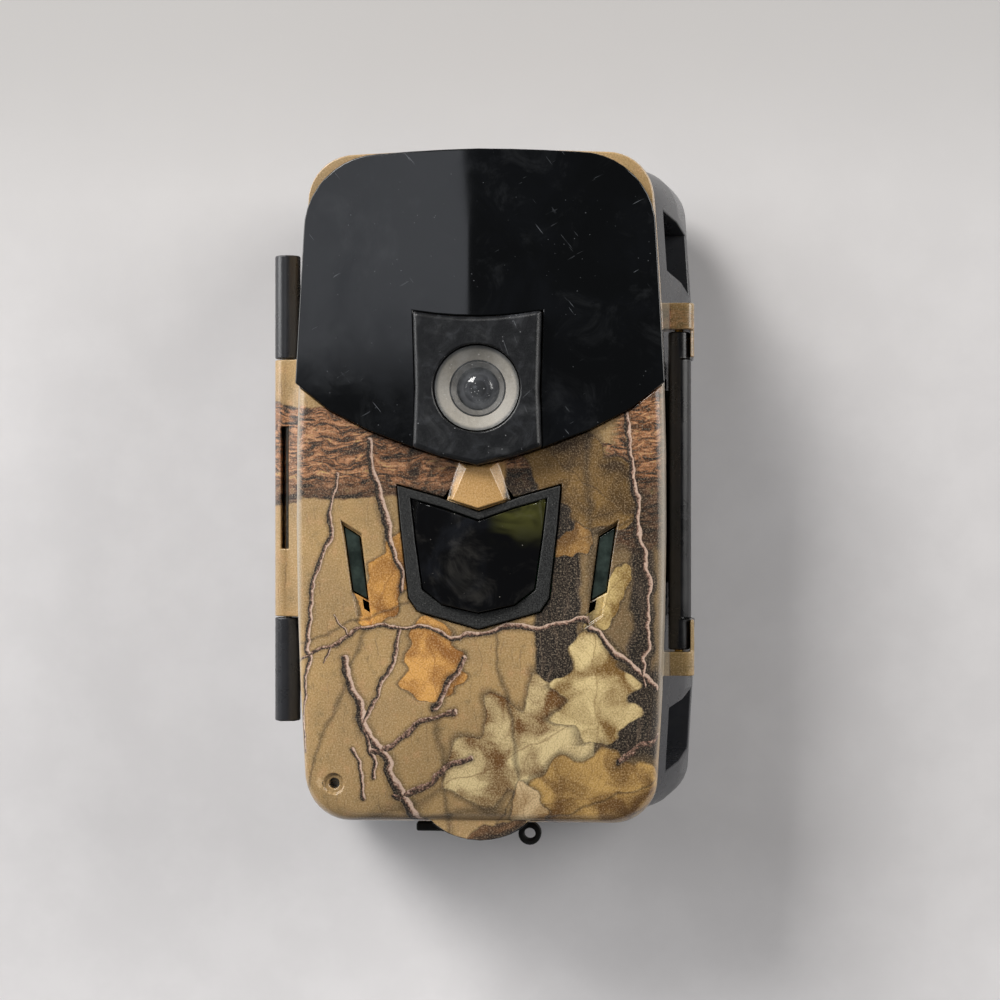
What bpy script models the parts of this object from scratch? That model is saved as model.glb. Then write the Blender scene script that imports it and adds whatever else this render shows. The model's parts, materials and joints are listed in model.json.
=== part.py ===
"""Trail camera strapped to a tree: hinged front shell, toggle latch, PIR and infrared windows.

Metres, +Z up, front faces -Y.  The origin is the centre of the flat pad on the back that
rests against the tree.  Driving dimensions below are in millimetres.
"""
import math

import bmesh
import bpy
from mathutils import Matrix, Vector

MM = 0.001
GAP = 0.3
FACE_FORWARD = Matrix.Rotation(math.radians(90.0), 4, "X")
FACE_SIDEWAYS = Matrix(((0, 0, 1, 0), (1, 0, 0, 0), (0, 1, 0, 0), (0, 0, 0, 1)))

# Body outline, seen from the front
HALF_HEIGHT = 76.0
HALF_WIDTH = 41.7
SIDE_BARREL = 0.00055
WIDEST_Z = -5.0
TOP_CROWN = 0.7
CORNER_TOP = 10.5
CORNER_BOTTOM = 9.0

# Depth stations, front is negative
Y_PAD = 0.0
Y_BACK = -3.0
Y_BAY_FLOOR = -6.5
Y_RIM = -37.9
Y_DOOR = -38.4
Y_FACE = -58.0
Y_POCKET = -55.6
Y_INNER_FACE = -53.6
Y_PANEL_EDGE = -58.0
Y_RIDGE = -61.6
WALL_BACK = 3.0
WALL_FRONT = 2.4
FLARE = 7.0

# Depths that cuts right through the face and the inner cover run between
AHEAD = -80.0
FACE_DEPTH = (AHEAD, -50.0)
COVER_DEPTH = (-60.0, -30.0)

# Hinge and latch
HINGE_X = -46.4
HINGE_Y = -38.15
BARREL_R = 2.95
PIN_R = 1.0
BARREL_TOP = (29.6, 53.6)
BARREL_MID = (-30.2, 29.3)
BARREL_LOW = (-54.5, -30.5)
WEB_TOP = (29.6, 45.0)
WEB_LOW = (-47.6, -30.5)
LATCH_X = 44.5
LATCH_Y = -43.2
KNUCKLE_R = 2.5
ARM_R = 2.75

# Infrared panel, lens block and lens
PANEL_INSET_X = 0.2
PANEL_INSET_Z = 1.4
PANEL_CORNER = 17.0
PANEL_LOWER_EDGE = ((0.0, 4.5), (8.0, 6.4), (15.0, 8.7), (24.7, 12.4), (33.7, 17.0), (38.2, 20.6))
PANEL_HALF = 41.35
PANEL_SIDE_Z = 23.0
LENS_Z = 21.5
BLOCK_HALF = 14.2
BLOCK_TOP = 38.5
Y_BLOCK = -64.0
LENS_RECESS_R = 9.7
LENS_BORE_R = 6.5

# Passive infrared window and the two slanted side windows
SHIELD = ((-18.2, 0.0), (-9.0, -2.6), (0.0, -5.9), (9.0, -2.6), (18.2, 0.0),
          (17.4, -9.0), (15.6, -25.0), (13.6, -28.0), (0.0, -31.9), (-13.6, -28.0),
          (-15.6, -25.0), (-17.4, -9.0))
LENS_SHIELD = ((-15.0, -3.2), (-8.0, -5.2), (0.0, -8.0), (8.0, -5.2), (15.0, -3.2),
               (14.0, -12.0), (12.4, -23.0), (8.0, -26.4), (0.0, -28.2), (-8.0, -26.4),
               (-12.4, -23.0), (-14.0, -12.0))
SLIT = ((-30.3, -9.3), (-26.9, -11.5), (-25.1, -25.3), (-28.3, -23.5))
GROOVE = ((-31.0, -7.8), (-26.3, -10.8), (-23.8, -31.4), (-27.4, -29.0))
PIR_RADIUS = 55.0
PIR_CROWN = -60.4

# Cells
CELL_R = 7.15
CELL_LENGTH = 49.5
CELL_PITCH = 15.4
TIER_Z = 28.6

# Microphone, tripod insert and inner cover screws
MIC = (-32.6, -66.7)
TRIPOD_Y = -20.0
COVER_SCREWS = ((-32.6, 55.0), (32.6, 55.0), (-32.6, -52.0), (32.6, -52.0))


def clear_scene():
    for item in list(bpy.data.objects):
        bpy.data.objects.remove(item, do_unlink=True)
    for mesh in list(bpy.data.meshes):
        bpy.data.meshes.remove(mesh)


clear_scene()
PARTS = bpy.data.collections.new("trail_camera")
TOOLS = bpy.data.collections.new("cutters")
bpy.context.scene.collection.children.link(PARTS)
bpy.context.scene.collection.children.link(TOOLS)


def material(name, colour, roughness, metallic=0.0):
    made = bpy.data.materials.new(name)
    made.use_nodes = True
    shader = made.node_tree.nodes["Principled BSDF"]
    shader.inputs["Base Color"].default_value = (*colour, 1.0)
    shader.inputs["Roughness"].default_value = roughness
    shader.inputs["Metallic"].default_value = metallic
    made.diffuse_color = (*colour, 1.0)
    return made


CAMO = material("camouflage_abs", (0.33, 0.24, 0.14), 0.35)
BLACK = material("black_abs", (0.02, 0.02, 0.022), 0.4)
TINTED = material("tinted_acrylic", (0.008, 0.009, 0.012), 0.08)
SATIN = material("satin_black", (0.018, 0.018, 0.02), 0.45)
GREY_RING = material("grey_bezel", (0.42, 0.40, 0.36), 0.5)
CLEAR = material("clear_window", (0.75, 0.78, 0.8), 0.05)
OPTIC = material("coated_glass", (0.09, 0.1, 0.14), 0.04)
SMOKED = material("smoked_window", (0.03, 0.032, 0.03), 0.12)
STEEL = material("pin_steel", (0.6, 0.6, 0.58), 0.3, 1.0)
NICKEL = material("nickel_contact", (0.68, 0.66, 0.6), 0.28, 1.0)
BRASS = material("brass_insert", (0.72, 0.52, 0.25), 0.35, 1.0)
RUBBER = material("seal_rubber", (0.016, 0.016, 0.016), 0.75)
BOARD = material("circuit_board", (0.02, 0.12, 0.05), 0.45)
DISPLAY = material("display_glass", (0.03, 0.035, 0.04), 0.08)
KEYS = material("key_rubber", (0.2, 0.2, 0.21), 0.6)
CELL = material("cell_sleeve", (0.06, 0.09, 0.2), 0.3)


def add_object(name, data, surface, tool=False):
    item = bpy.data.objects.new(name, data)
    if tool:
        TOOLS.objects.link(item)
        item.hide_render = True
        item.display_type = "WIRE"
    else:
        PARTS.objects.link(item)
    if surface is not None:
        data.materials.append(surface)
    return item


def from_bmesh(name, work, surface, tool, smooth=None):
    """Store the work mesh, welded and with its normals outward."""
    bmesh.ops.remove_doubles(work, verts=work.verts, dist=0.00001)
    bmesh.ops.recalc_face_normals(work, faces=work.faces)
    mesh = bpy.data.meshes.new(name)
    work.to_mesh(mesh)
    work.free()
    if smooth is not None:
        mesh.shade_smooth()
        mesh.set_sharp_from_angle(angle=math.radians(smooth))
    return add_object(name, mesh, surface, tool)


def loft(name, rings, surface=None, tool=False, smooth=None):
    """Bridge (y, outline) rings of equal point counts and cap both ends."""
    work = bmesh.new()
    loops = []
    for y, shape in rings:
        loops.append([work.verts.new(Vector((x, y, z)) * MM) for x, z in shape])
    for low, high in zip(loops, loops[1:]):
        for k, vertex in enumerate(low):
            work.faces.new((low[k - 1], vertex, high[k], high[k - 1]))
    work.faces.new(loops[0])
    work.faces.new(loops[-1])
    return from_bmesh(name, work, surface, tool, smooth)


def thick_outline(name, shape, turn, limits, surface, tool, smooth):
    """A flat outline given half its thickness each way, then turned into place."""
    low, high = sorted(limits)
    curve = bpy.data.curves.new(name, "CURVE")
    curve.dimensions = "2D"
    curve.fill_mode = "BOTH"
    curve.extrude = (high - low) * MM / 2.0
    line = curve.splines.new("POLY")
    line.points.add(len(shape) - 1)
    line.use_cyclic_u = True
    for point, (across, up) in zip(line.points, shape):
        point.co = (across * MM, up * MM, 0.0, 1.0)
    guide = bpy.data.objects.new(name, curve)
    TOOLS.objects.link(guide)
    guide.matrix_world = turn @ Matrix.Translation((0.0, 0.0, (low + high) * MM / 2.0))
    graph = bpy.context.evaluated_depsgraph_get()
    mesh = bpy.data.meshes.new_from_object(guide.evaluated_get(graph))
    mesh.transform(guide.matrix_world)
    work = bmesh.new()
    work.from_mesh(mesh)
    bpy.data.objects.remove(guide)
    bmesh.ops.remove_doubles(work, verts=work.verts, dist=0.00001)
    bmesh.ops.dissolve_limit(work, angle_limit=0.002, verts=work.verts, edges=work.edges)
    return from_bmesh(name, work, surface, tool, smooth)


def prism(name, shape, y0, y1, surface=None, tool=False, smooth=None):
    """An outline in x, z carried from y0 to y1."""
    return thick_outline(name, shape, FACE_FORWARD, (-y0, -y1), surface, tool, smooth)


def extrude_z(name, shape, z0, z1, surface=None, tool=False, smooth=None):
    """An outline in x, y carried from z0 to z1."""
    return thick_outline(name, shape, Matrix.Identity(4), (z0, z1), surface, tool, smooth)


def extrude_x(name, shape, x0, x1, surface=None, tool=False):
    """An outline in y, z carried from x0 to x1."""
    return thick_outline(name, shape, FACE_SIDEWAYS, (x0, x1), surface, tool, None)


def box(name, x, y, z, surface=None, tool=False):
    """A block between two limits along each axis."""
    low = Vector(min(pair) for pair in (x, y, z))
    high = Vector(max(pair) for pair in (x, y, z))
    size = (high - low) * MM
    place = Matrix.Translation((low + high) * MM / 2.0) @ Matrix.Diagonal((*size, 1.0))
    work = bmesh.new()
    bmesh.ops.create_cube(work, size=1.0, matrix=place)
    return from_bmesh(name, work, surface, tool)


def rod(name, centre, radius, length, turn, steps, surface, tool, smooth):
    work = bmesh.new()
    place = Matrix.Translation(Vector(centre) * MM) @ turn
    bmesh.ops.create_cone(work, cap_ends=True, segments=steps, radius1=radius * MM,
                          radius2=radius * MM, depth=length * MM, matrix=place)
    return from_bmesh(name, work, surface, tool, smooth)


def rod_y(name, x, z, radius, y0, y1, steps=24, surface=None, tool=False, smooth=None):
    centre = (x, (y0 + y1) / 2.0, z)
    return rod(name, centre, radius, abs(y1 - y0), FACE_FORWARD, steps, surface, tool, smooth)


def rod_z(name, x, y, radius, z0, z1, steps=24, surface=None, tool=False, smooth=None):
    centre = (x, y, (z0 + z1) / 2.0)
    return rod(name, centre, radius, abs(z1 - z0), Matrix.Identity(4), steps, surface, tool, smooth)


def profile_mesh(name, profile):
    """Edges of a (radius, height) profile, closed on itself where it stays off the axis."""
    edges = [(k, k + 1) for k in range(len(profile) - 1)]
    if profile[0][0] > 0.0:
        edges.append((len(profile) - 1, 0))
    mesh = bpy.data.meshes.new(name)
    mesh.from_pydata([(radius * MM, 0.0, height * MM) for radius, height in profile], edges, [])
    return mesh


def turned(name, mesh, centre, turn, steps, surface):
    """Sweep a profile that runs top to bottom about the object's own Z."""
    item = add_object(name, mesh, surface)
    item.matrix_world = Matrix.Translation(Vector(centre) * MM) @ turn
    sweep = item.modifiers.new("sweep", "SCREW")
    sweep.steps = steps
    sweep.render_steps = steps
    sweep.use_smooth_shade = True
    sweep.use_merge_vertices = True
    sweep.merge_threshold = 0.00001
    return item


def turned_y(name, x, z, profile, steps, surface, y_origin=0.0):
    """Turn a (radius, y) profile about a line along Y; it may run either way."""
    drawn = [(radius, y_origin - y) for radius, y in profile]
    if drawn[0][1] < drawn[-1][1] and drawn[0][0] == 0.0:
        drawn.reverse()
    return turned(name, profile_mesh(name, drawn), (x, y_origin, z), FACE_FORWARD, steps, surface)


def combine(target, tool, operation="DIFFERENCE"):
    step = target.modifiers.new(tool.name, "BOOLEAN")
    step.operation = operation
    step.solver = "EXACT"
    step.object = tool
    return target


def cut(target, *tools):
    for tool in tools:
        combine(target, tool)


def fuse(target, *tools):
    for tool in tools:
        combine(target, tool, "UNION")


def half_width(z):
    return HALF_WIDTH - SIDE_BARREL * (z - WIDEST_Z) ** 2


def arc(cx, cz, radius, start, end, steps):
    turns = [math.radians(start + (end - start) * k / steps) for k in range(steps + 1)]
    return [(cx + radius * math.cos(t), cz + radius * math.sin(t)) for t in turns]


def right_half(inset_x, inset_z, r_top, r_bottom, steps=10, stations=7):
    """Right side of the outline from bottom centre to top centre."""
    top = HALF_HEIGHT - inset_z - TOP_CROWN
    z_low = -HALF_HEIGHT + inset_z + r_bottom
    z_high = top - r_top
    x_low = half_width(z_low) - inset_x - r_bottom
    x_high = half_width(z_high) - inset_x - r_top
    points = arc(x_low, z_low, r_bottom, -90.0, 0.0, steps)
    for k in range(1, stations):
        z = z_low + (z_high - z_low) * k / stations
        points.append((half_width(z) - inset_x, z))
    points += arc(x_high, z_high, r_top, 0.0, 90.0, steps)
    for share in (0.66, 0.33):
        x = x_high * share
        points.append((x, top + TOP_CROWN * (1.0 - share * share)))
    return points, top + TOP_CROWN


def outline(inset_x, inset_z, r_top=CORNER_TOP, r_bottom=CORNER_BOTTOM):
    right, crown = right_half(inset_x, inset_z, r_top, r_bottom)
    left = [(-x, z) for x, z in reversed(right)]
    return right + [(0.0, crown)] + left


def panel_outline():
    """Panel seen from the front: shell outline above the shallow V of its lower edge."""
    right, crown = right_half(PANEL_INSET_X, PANEL_INSET_Z, PANEL_CORNER, CORNER_BOTTOM)
    upper = [(x, z) for x, z in right if z > PANEL_SIDE_Z + 2.0]
    half = list(PANEL_LOWER_EDGE) + [(PANEL_HALF, PANEL_SIDE_Z)] + upper
    left = [(-x, z) for x, z in reversed(half[1:])]
    return half + [(0.0, crown)] + left


def panel_seat():
    """Everything above the panel's lower edge, out past the shell on the other three sides."""
    half = [(x, z - GAP) for x, z in PANEL_LOWER_EDGE]
    half += [(PANEL_HALF, PANEL_SIDE_Z - GAP), (60.0, PANEL_SIDE_Z + 6.0), (60.0, 90.0)]
    return half + [(-x, z) for x, z in reversed(half[1:])]


# ------------------------------------------------------------------ back shell
def back_shell():
    rings = (
        (Y_RIM, outline(0.0, 0.0)),
        (-35.5, outline(-0.9, 0.2)),
        (-24.0, outline(-FLARE + 2.1, 0.4)),
        (-12.0, outline(-FLARE, 0.8)),
        (-7.0, outline(-FLARE + 1.6, 2.2, CORNER_TOP, CORNER_BOTTOM + 1.0)),
        (Y_BACK, outline(1.6, 6.0, CORNER_TOP, CORNER_BOTTOM + 1.0)),
    )
    shell = loft("back_shell", rings, BLACK, smooth=38)

    cavity = loft("cavity_back", (
        (Y_RIM - 2.0, outline(WALL_BACK, WALL_BACK, CORNER_TOP - 3.0, CORNER_BOTTOM - 2.0)),
        (Y_BAY_FLOOR, outline(WALL_BACK + 1.0, WALL_BACK + 3.6, CORNER_TOP - 3.0, CORNER_BOTTOM - 2.0)),
    ), tool=True)
    for side in (-1, 1):
        across = (side * 32.0, side * 60.0)
        for low, high, name in ((43.0, 67.0, "upper"), (-70.0, -45.0, "lower")):
            cut(cavity, box(f"pocket_{name}_{side}", across, (-36.4, 5.0), (low, high), tool=True))
        wall = (side * 31.2, side * 32.6)
        cut(cavity, box(f"bay_side_{side}", wall, (-22.0, 5.0), (-58.8, 58.8), tool=True))
    for low, high, name in ((-1.2, 1.2, "mid"), (56.8, 58.8, "top"), (-58.8, -56.8, "low")):
        cut(cavity, box(f"bay_wall_{name}", (-32.6, 32.6), (-22.0, 5.0), (low, high), tool=True))
    cut(shell, cavity)

    # strap passages: in at the side, out through the back
    for side in (-1, 1):
        inner = side * 34.5
        upper = ((-33.0, 64.0), (-33.0, 50.2), (-14.0, 46.1), (-14.0, 60.4))
        lower = ((-33.0, -51.6), (-33.0, -66.3), (-14.0, -62.9), (-14.0, -48.6))
        cut(shell, extrude_x(f"slot_upper_{side}", upper, inner, side * 70.0, tool=True))
        cut(shell, extrude_x(f"slot_lower_{side}", lower, inner, side * 70.0, tool=True))
        exit_x = (side * 35.0, side * 39.5)
        cut(shell, box(f"exit_upper_{side}", exit_x, (-20.0, 5.0), (48.0, 59.6), tool=True))
        cut(shell, box(f"exit_lower_{side}", exit_x, (-20.0, 5.0), (-61.8, -50.2), tool=True))

    # finger recess beside the latch, with the catch rib left standing in it
    cut(shell, box("latch_recess", (42.0, 70.0), (-50.0, 5.0), (-31.6, 30.4), tool=True))
    fuse(shell, box("catch_rib", (41.0, 43.2), (-37.7, -35.7), (-22.0, 22.0), tool=True))

    # hinge end barrels with webs to the shell wall
    clearance = rod_z("mid_barrel_room", HINGE_X, HINGE_Y, BARREL_R + 0.45,
                      BARREL_MID[0] - 0.3, BARREL_MID[1] + 0.3, 24, tool=True)
    cut(shell, clearance)
    for name, span, web_span in (("upper", BARREL_TOP, WEB_TOP), ("lower", BARREL_LOW, WEB_LOW)):
        web = ((HINGE_X - 1.6, HINGE_Y + 1.2), (HINGE_X + 2.6, HINGE_Y + 1.2), (-40.4, -36.2),
               (-40.4, -26.0), (HINGE_X + 0.6, -26.0), (HINGE_X - 1.6, -32.0))
        barrel = rod_z(f"barrel_{name}", HINGE_X, HINGE_Y, BARREL_R, span[0], span[1], 24, tool=True)
        fuse(barrel, extrude_z(f"web_{name}", web, *web_span, tool=True))
        fuse(shell, barrel)
    bore = rod_z("pin_bore_back", HINGE_X, HINGE_Y, PIN_R + GAP, -53.0, 60.0, 16, tool=True)
    cut(shell, bore)

    # seal groove round the rim
    cut(shell, seal_ring("seal_groove", 0.7, 2.3, Y_RIM - 1.0, Y_RIM + 1.2, tool=True))

    # tree pad on the back and tripod boss underneath
    pad = loft("tree_pad", (
        (-4.0, rounded_rect(19.0, 32.0, 4.0)),
        (Y_PAD, rounded_rect(17.6, 30.6, 4.0)),
    ), tool=True)
    fuse(shell, pad)
    boss = box("tripod_boss", (-10.5, 10.5), (-28.0, -12.0), (-77.0, -71.0), tool=True)
    fuse(shell, boss)
    cut(shell, rod_z("tripod_bore", 0.0, TRIPOD_Y, 4.6, -80.0, -72.2, 20, tool=True))
    return shell


def rounded_rect(half_x, half_z, radius):
    points = []
    for cx, cz, start in ((1, -1, -90.0), (1, 1, 0.0), (-1, 1, 90.0), (-1, -1, 180.0)):
        points += arc(cx * (half_x - radius), cz * (half_z - radius), radius, start, start + 90.0, 3)
    return points


def seal_ring(name, inset_out, inset_in, y0, y1, surface=None, tool=False):
    """A ring that follows the shell outline between two insets."""
    outer = outline(inset_out, inset_out, CORNER_TOP - inset_out, CORNER_BOTTOM - inset_out)
    inner = outline(inset_in, inset_in, CORNER_TOP - inset_in, CORNER_BOTTOM - inset_in)
    ring = prism(name, outer, y0, y1, surface, tool)
    cut(ring, prism(f"{name}_inside", inner, y0 - 5.0, y1 + 5.0, tool=True))
    return ring


def back_internals():
    pieces = [seal_ring("rim_seal", 1.0, 2.0, Y_RIM - 0.2, Y_RIM + 0.9, RUBBER)]
    pin = rod_z("hinge_pin", HINGE_X, HINGE_Y, PIN_R, -52.6, 53.4, 16, STEEL, smooth=38)
    pieces.append(pin)

    insert = rod_z("tripod_insert", 0.0, TRIPOD_Y, 4.3, -77.0, -72.5, 20, BRASS, smooth=38)
    cut(insert, rod_z("tripod_thread", 0.0, TRIPOD_Y, 3.1, -80.0, -73.2, 20, tool=True))
    pieces.append(insert)

    cell_y = Y_BAY_FLOOR - GAP - CELL_R
    sleeve = profile_mesh("cell", cell_profile())
    for tier, z_mid in enumerate((TIER_Z, -TIER_Z)):
        for column in range(4):
            x = CELL_PITCH * (column - 1.5)
            turn = Matrix.Rotation(math.pi * ((column + tier) % 2), 4, "X")
            name = f"cell_{tier + 1}_{column + 1}"
            pieces.append(turned(name, sleeve, (x, cell_y, z_mid), turn, 16, CELL))
        for end, z_wall in (("top", z_mid + 27.8), ("low", z_mid - 27.8)):
            inward = -1 if end == "top" else 1
            pieces.append(contact_strip(f"contact_{tier + 1}_{end}", z_wall, inward, cell_y))
    return pieces


def cell_profile():
    """Positive button, crimped shoulders, sleeve and flat foot, top to bottom."""
    half = CELL_LENGTH / 2.0
    return ((0.0, half), (2.6, half), (2.7, half - 1.3), (CELL_R - 1.0, half - 1.3),
            (CELL_R, half - 2.2), (CELL_R, -half + 0.7), (CELL_R - 0.7, -half), (0.0, -half))


def contact_strip(name, z_wall, inward, cell_y):
    """Nickel strip on a bay wall with a bent tongue toward each cell."""
    z0 = z_wall + inward * 0.6
    z1 = z0 + inward * 0.5
    strip = box(name, (-29.6, 29.6), (cell_y - 5.0, cell_y + 5.0), (z0, z1), NICKEL)
    for column in range(4):
        x = CELL_PITCH * (column - 1.5)
        tip = z1 + inward * 1.0
        tongue = ((x - 4.0, z1 - inward * 0.2), (x + 4.0, tip), (x + 4.6, tip),
                  (x + 4.6, tip - inward * 0.4), (x + 4.0, tip - inward * 0.4),
                  (x - 1.6, z1 - inward * 0.2))
        fuse(strip, prism(f"{name}_tongue_{column}", tongue, cell_y - 2.4, cell_y + 2.4, tool=True))
    return strip


# ----------------------------------------------------------------- front shell
def front_shell():
    rings = (
        (Y_DOOR, outline(0.0, 0.0)),
        (-44.0, outline(0.05, 0.1)),
        (-53.0, outline(0.15, 0.5, CORNER_TOP, CORNER_BOTTOM + 1.0)),
        (-55.9, outline(0.4, 1.0, CORNER_TOP, CORNER_BOTTOM + 2.0)),
        (-56.8, outline(0.7, 1.5, CORNER_TOP, CORNER_BOTTOM + 3.2)),
        (-57.5, outline(1.3, 2.2, CORNER_TOP, CORNER_BOTTOM + 4.6)),
        (Y_FACE, outline(2.2, 3.2, CORNER_TOP, CORNER_BOTTOM + 6.0)),
    )
    shell = loft("front_shell", rings, CAMO, smooth=38)

    # raised nose between the panel tip and the PIR window, and the chin under the body
    nose = nose_wedge()
    chin = arc(0.0, -63.6, 15.7, -42.0, -138.0, 10)
    fuse(shell, nose, prism("chin", chin, -56.6, -50.2, tool=True))

    # latch lugs, each a block with a thinner cheek beyond the lever end
    for name, z0, z1, c0, c1 in (("upper", 35.4, 41.4, 29.2, 36.0), ("lower", -43.0, -37.6, -38.0, -30.4)):
        block = lug_section(40.0, 47.9)
        cheek = ((47.0, -45.6), (47.9, -45.0), (47.9, -40.6), (47.0, -40.0))
        fuse(shell, extrude_z(f"lug_{name}", block, z0, z1, tool=True))
        fuse(shell, extrude_z(f"cheek_{name}", cheek, c0, c1, tool=True))

    # middle hinge barrel with its web
    web = ((HINGE_X, HINGE_Y - 2.9), (HINGE_X, HINGE_Y - 0.5), (-40.2, -38.6), (-40.2, -44.0),
           (-42.0, -43.0))
    barrel = rod_z("barrel_mid", HINGE_X, HINGE_Y, BARREL_R, *BARREL_MID, 24, tool=True)
    fuse(barrel, extrude_z("web_mid", web, *BARREL_MID, tool=True))
    fuse(shell, barrel)

    cavity = loft("cavity_front", (
        (Y_DOOR + 2.0, outline(WALL_FRONT, WALL_FRONT, CORNER_TOP - 2.4, CORNER_BOTTOM - 2.0)),
        (Y_INNER_FACE, outline(WALL_FRONT + 1.0, WALL_FRONT + 1.0, CORNER_TOP - 2.4, CORNER_BOTTOM)),
    ), tool=True)
    cut(shell, cavity)

    # seat for the infrared panel, with ports for the emitters and the lens
    cut(shell, prism("panel_seat", panel_seat(), AHEAD, Y_POCKET, tool=True))
    for side in (-1, 1):
        across = (side * 17.0, side * 34.5)
        cut(shell, box(f"infrared_port_{side}", across, FACE_DEPTH, (25.0, 60.0), tool=True))
    cut(shell, rod_y("lens_port", 0.0, LENS_Z, 8.8, *FACE_DEPTH, 28, tool=True))

    # PIR window, side windows and microphone
    cut(shell, prism("pir_port", grow_outline(SHIELD, GAP), *FACE_DEPTH, tool=True))
    for side in (-1, 1):
        slit = mirror_outline(grow_outline(SLIT, GAP), side)
        groove = mirror_outline(GROOVE, side)
        cut(shell, prism(f"groove_{side}", groove, AHEAD, Y_FACE + 0.8, tool=True))
        cut(shell, prism(f"slit_{side}", slit, *FACE_DEPTH, tool=True))
    cut(shell, rod_y("mic_sink", MIC[0], MIC[1], 2.3, AHEAD, Y_FACE + 0.7, 20, tool=True))
    cut(shell, rod_y("mic_port", MIC[0], MIC[1], 1.2, *FACE_DEPTH, 16, tool=True))

    # port opening in the floor, and room for the end barrels of the hinge
    cut(shell, box("port_opening", (-8.0, 8.0), (-48.6, -41.4), (-90.0, -70.0), tool=True))
    for name, span in (("upper", BARREL_TOP), ("lower", BARREL_LOW)):
        room = rod_z(f"end_barrel_room_{name}", HINGE_X, HINGE_Y, BARREL_R + 0.45,
                     span[0] - 0.3, span[1] + 0.3, 24, tool=True)
        cut(shell, room)
    cut(shell, rod_z("pin_bore_front", HINGE_X, HINGE_Y, PIN_R + GAP, -40.0, 40.0, 16, tool=True))
    cut(shell, box("pin_slot", (HINGE_X - 1.1, HINGE_X + 0.7), (-60.0, HINGE_Y), (-14.5, 13.8), tool=True))
    cut(shell, rod_z("latch_pin_bore", LATCH_X, LATCH_Y, PIN_R + GAP, -42.0, 40.4, 16, tool=True))
    return shell


def lug_section(x_in, x_out):
    """Lug cross-section in x, y with its outer corners rounded."""
    points = [(x_in, -39.0), (x_in, -47.0)]
    for k in range(5):
        turn = math.radians(-90.0 + 22.5 * k)
        points.append((x_out - 2.0 + 2.0 * math.cos(turn), -45.0 + 2.0 * math.sin(turn)))
    for k in range(5):
        turn = math.radians(22.5 * k)
        points.append((x_out - 1.4 + 1.4 * math.cos(turn), -40.4 + 1.4 * math.sin(turn)))
    return points


def nose_wedge():
    """Raised wedge, the hull of a base inside the wall and a smaller top."""
    corners = [(x, -57.0, z) for x, z in ((-5.0, 6.0), (5.0, 6.0), (7.4, -2.9), (0.0, -5.5), (-7.4, -2.9))]
    corners += [(-2.6, -60.2, 3.9), (2.6, -60.2, 3.9), (5.8, -59.6, -3.2), (0.0, -60.2, -5.0),
                (-5.8, -59.6, -3.2)]
    work = bmesh.new()
    for corner in corners:
        work.verts.new(Vector(corner) * MM)
    bmesh.ops.convex_hull(work, input=work.verts)
    return from_bmesh("nose", work, None, True)


def mirror_outline(points, side):
    """The given outline on the left for -1, mirrored to the right for 1."""
    return [(-side * x, z) for x, z in points]


def grow_outline(points, amount):
    """Push every corner out from the outline by its two edge normals."""
    area = sum(a[0] * b[1] - b[0] * a[1] for a, b in zip(points, points[1:] + points[:1]))
    turn = 1.0 if area > 0.0 else -1.0
    grown = []
    count = len(points)
    for k in range(count):
        before = Vector(points[k]) - Vector(points[k - 1])
        after = Vector(points[(k + 1) % count]) - Vector(points[k])
        before.normalize()
        after.normalize()
        normal = Vector((before.y + after.y, -before.x - after.x)) * turn
        normal.normalize()
        spread = max(normal.dot(Vector((after.y, -after.x)) * turn), 0.5)
        spot = Vector(points[k]) + normal * (amount / spread)
        grown.append((spot.x, spot.y))
    return grown


def infrared_panel():
    """Tinted panel of two facets that meet on a vertical ridge."""
    panel = prism("infrared_panel", panel_outline(), Y_POCKET - GAP, Y_RIDGE - 4.0, TINTED)
    slope = math.atan2(Y_PANEL_EDGE - Y_RIDGE, PANEL_HALF)
    for side in (-1, 1):
        facet = box(f"facet_{side}", (-80.0, 80.0), (-30.0, 0.0), (-20.0, 100.0), tool=True)
        facet.location = Vector((0.0, Y_RIDGE, 0.0)) * MM
        facet.rotation_euler.z = side * slope
        cut(panel, facet)
    notch = [(x, z - 8.0 if z < 12.0 else z) for x, z in block_outline(GAP)]
    cut(panel, prism("block_notch", notch, *FACE_DEPTH, tool=True))
    return panel


def block_outline(grow):
    """Lens block: concave top edge, sides, and a V that follows the panel's lower edge."""
    half = BLOCK_HALF + grow
    points = [(0.0, 4.5 - grow), (8.0, 6.4 - grow), (half, 8.5 - grow)]
    points += [(half - 0.5, LENS_Z), (half, BLOCK_TOP + grow)]
    for share in (0.66, 0.33, 0.0):
        points.append((half * share, BLOCK_TOP + grow - 1.3 * (1.0 - share ** 2)))
    left = [(-x, z) for x, z in reversed(points[1:-1])]
    return points + left


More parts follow.
